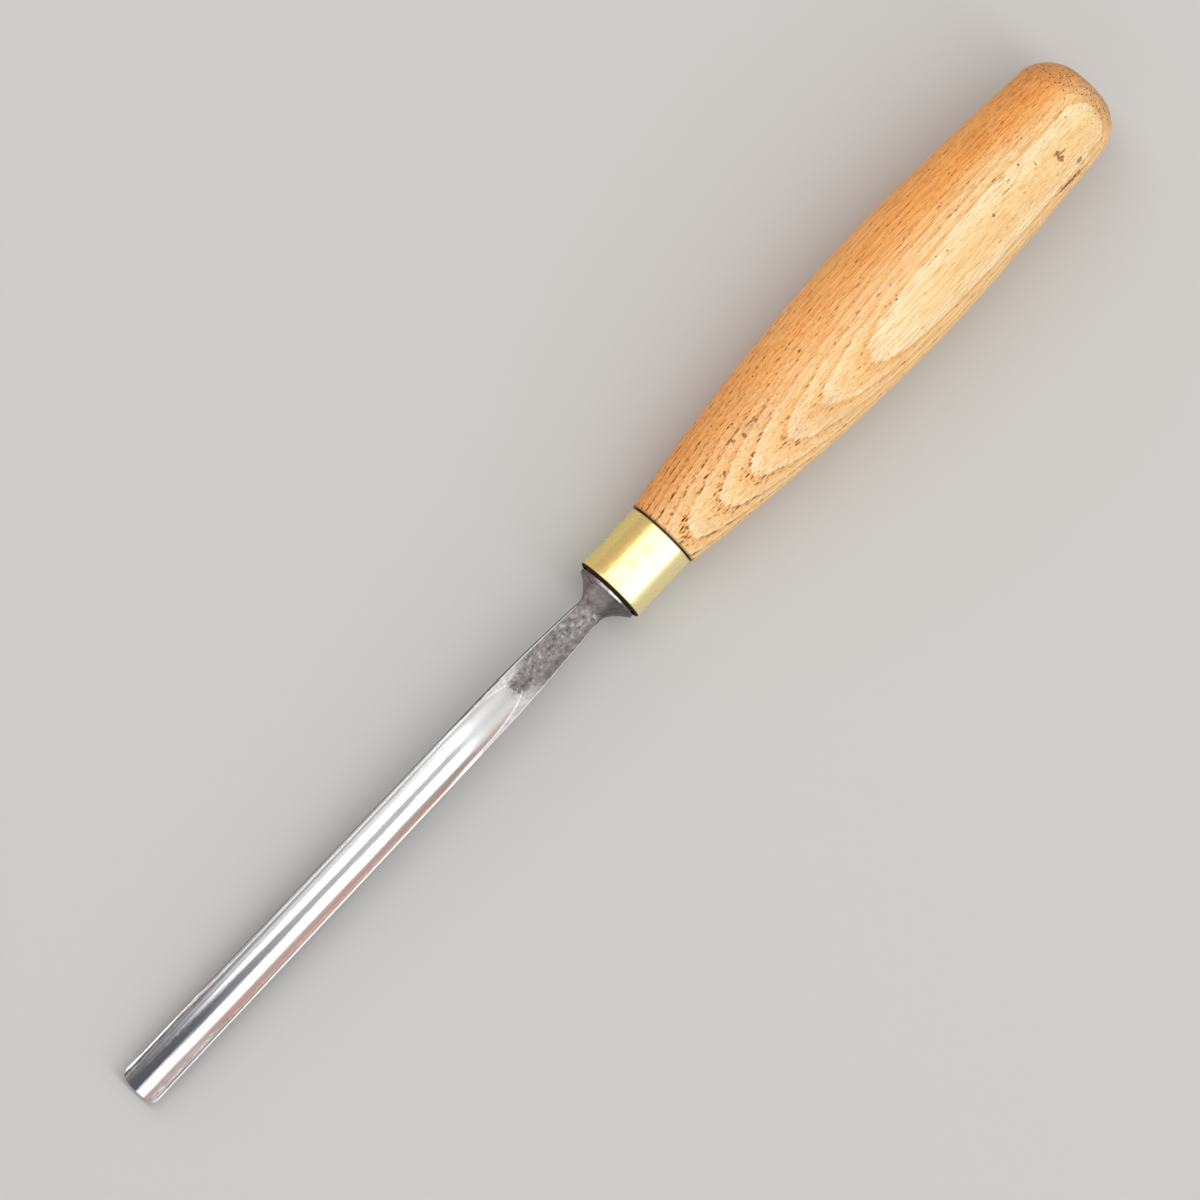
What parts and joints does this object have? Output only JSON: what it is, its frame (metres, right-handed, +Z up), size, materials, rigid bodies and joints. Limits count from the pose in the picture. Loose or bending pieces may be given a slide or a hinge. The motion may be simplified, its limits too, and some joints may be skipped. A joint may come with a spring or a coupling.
{
  "type": "carving gouge",
  "caption": "Straight wood-carving gouge: a fluted steel blade with a forged bolster, a brass ferrule and a turned ash handle with a domed butt.",
  "frame": {"origin": "under the middle of the tool's box, on the surface that it lies on", "axes": "+Z up, with the hollow of the blade upwards; +X from the cutting edge to the butt of the handle, level, while the tool's own axis rises towards the butt by 3.4 degrees because it lies on the blade's underside and the belly of the handle; +Y across"},
  "size_m": [0.246, 0.0244, 0.0254],
  "materials": {
    "blade_steel": "polished flute and edge, dark pitted forging skin on the neck and bolster",
    "ferrule_brass": "polished, lightly tarnished, one small dent",
    "handle_ash": "oiled open-grained wood, worn and stained by use"
  },
  "bodies": {
    "root": {"blade": "blade_steel", "ferrule": "ferrule_brass", "handle": "handle_ash"}
  },
  "joints": []
}
